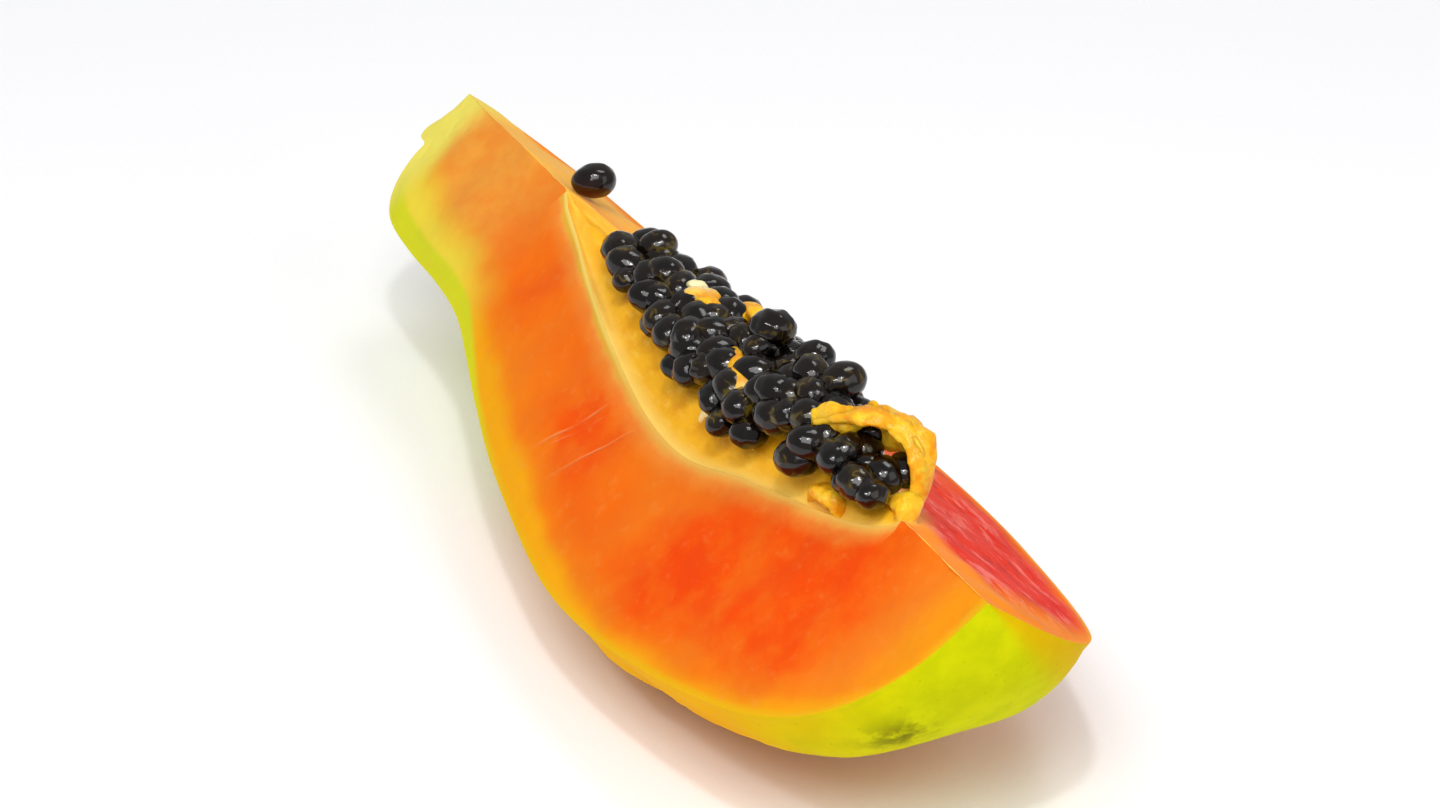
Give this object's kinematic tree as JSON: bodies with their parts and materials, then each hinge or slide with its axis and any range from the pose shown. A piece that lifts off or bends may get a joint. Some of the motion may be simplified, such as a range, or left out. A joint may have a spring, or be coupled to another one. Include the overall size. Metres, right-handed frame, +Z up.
{
  "type": "papaya wedge",
  "caption": "Long wedge of ripe papaya lying on its skin, with two cut faces, a seed cavity full of dark seeds and a single stray seed near the neck.",
  "frame": {"origin": "middle of the wedge's outline in plan, on the surface it lies on", "axes": "+X along the fruit from its stem end to its blossom end, +Z up, and the near cut face looks to -Y and up"},
  "size_m": [0.197, 0.0758, 0.0589],
  "materials": {
    "flesh": "moist orange-red fruit flesh with a yellow to green peel, soft satin",
    "seed": "wet glossy black-brown seeds"
  },
  "bodies": {
    "root": {"flesh_wedge": "flesh", "seed_cluster": "seed", "lone_seed": "seed"}
  },
  "joints": []
}
